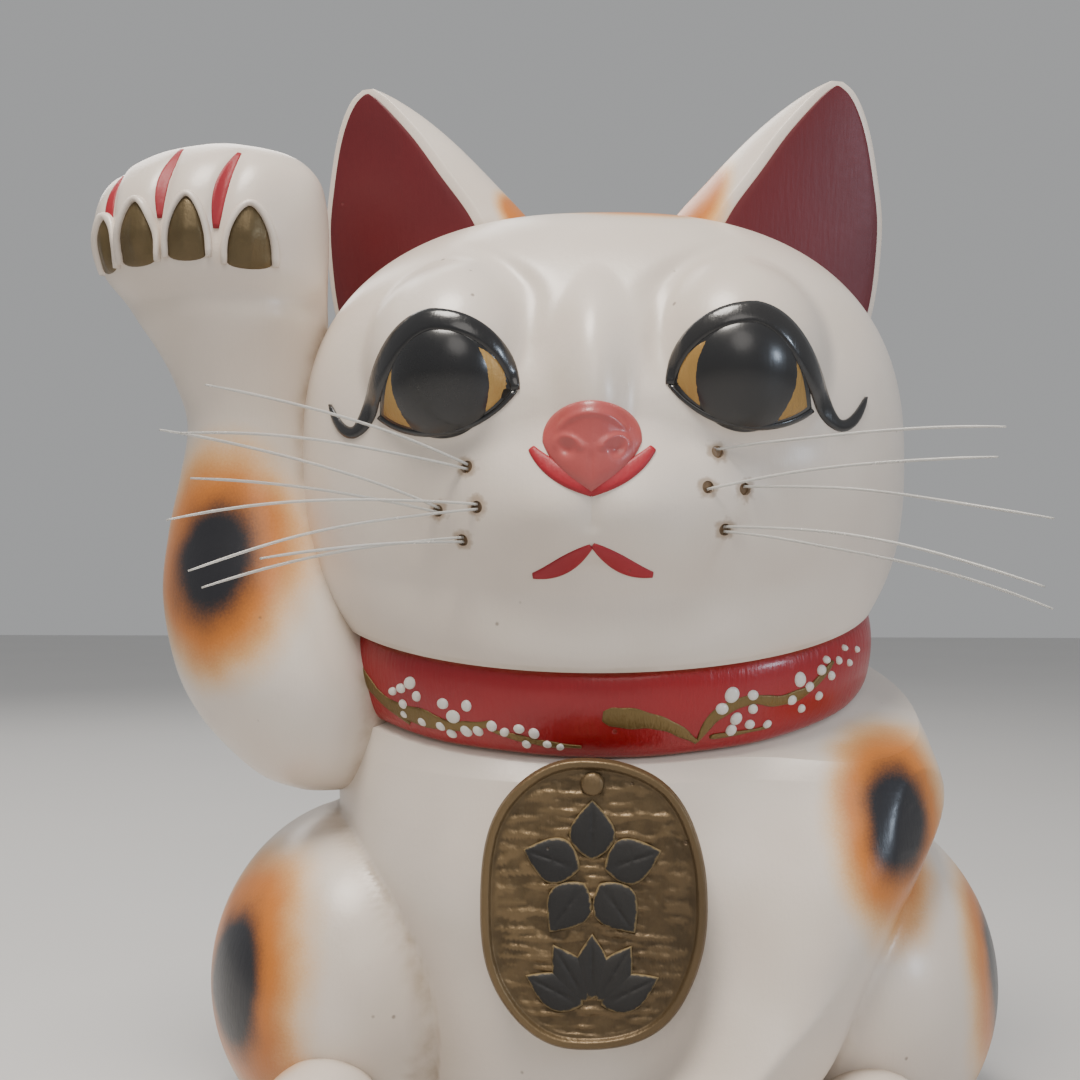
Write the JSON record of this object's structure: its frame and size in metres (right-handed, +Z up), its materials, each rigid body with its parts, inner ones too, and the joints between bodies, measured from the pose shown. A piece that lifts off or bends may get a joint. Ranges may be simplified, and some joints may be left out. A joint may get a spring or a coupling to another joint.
{
  "type": "beckoning cat figurine",
  "caption": "Seated beckoning cat figurine of painted cast clay, right paw raised, red collar, oval medallion, nylon whiskers and a rubber stopper in its base.",
  "frame": {"origin": "middle of the resting face of the base, under the neck's axis", "axes": "+Z up, the cat faces -Y, its left side is on +X"},
  "size_m": [0.2568, 0.2205, 0.2973],
  "materials": {
    "glaze": "pearl-white cold paint on cast clay, soft gloss, orange and black airbrushed spots",
    "crimson": "flat dark crimson enamel",
    "collar_red": "satin red enamel",
    "old_gold": "brushed olive gold paint",
    "white_enamel": "raised white enamel",
    "bronze_gold": "dull olive bronze paint over moulded relief",
    "black_enamel": "glossy black enamel",
    "salmon": "salmon pink satin enamel",
    "red_line": "red enamel strokes",
    "eye_gold": "streaky gold paint",
    "glue": "dried brown glue",
    "nylon": "clear nylon bristle",
    "rubber": "dark grey rubber"
  },
  "bodies": {
    "figure": {"torso": "glaze", "base_plate": "glaze", "head": "glaze", "right_ear": "glaze", "left_ear": "glaze", "right_ear_lining": "crimson", "left_ear_lining": "crimson", "raised_right_arm": "glaze", "left_foreleg": "glaze", "right_haunch": "glaze", "left_haunch": "glaze", "right_hind_foot": "glaze", "left_hind_foot": "glaze", "tail": "glaze", "collar": "collar_red", "collar_branches": "old_gold", "collar_blossoms": "white_enamel", "medallion": "bronze_gold", "medallion_boss": "bronze_gold", "medallion_sprig": "black_enamel", "nose": "salmon", "nose_fold": "red_line", "lips": "red_line", "eye_outlines": "black_enamel", "eye_golds": "eye_gold", "pupils": "black_enamel", "paw_claws": "bronze_gold", "paw_toe_lines": "red_line", "foot_toe_lines": "red_line", "whisker_glue": "glue", "right_whiskers": "nylon", "left_whiskers": "nylon"},
    "stopper": {"stopper": "rubber"}
  },
  "joints": [
    {"name": "stopper_slide", "type": "slide", "parent": "figure", "child": "stopper", "axis": [0, 0, -1], "range_m": [0, 0.03]}
  ]
}
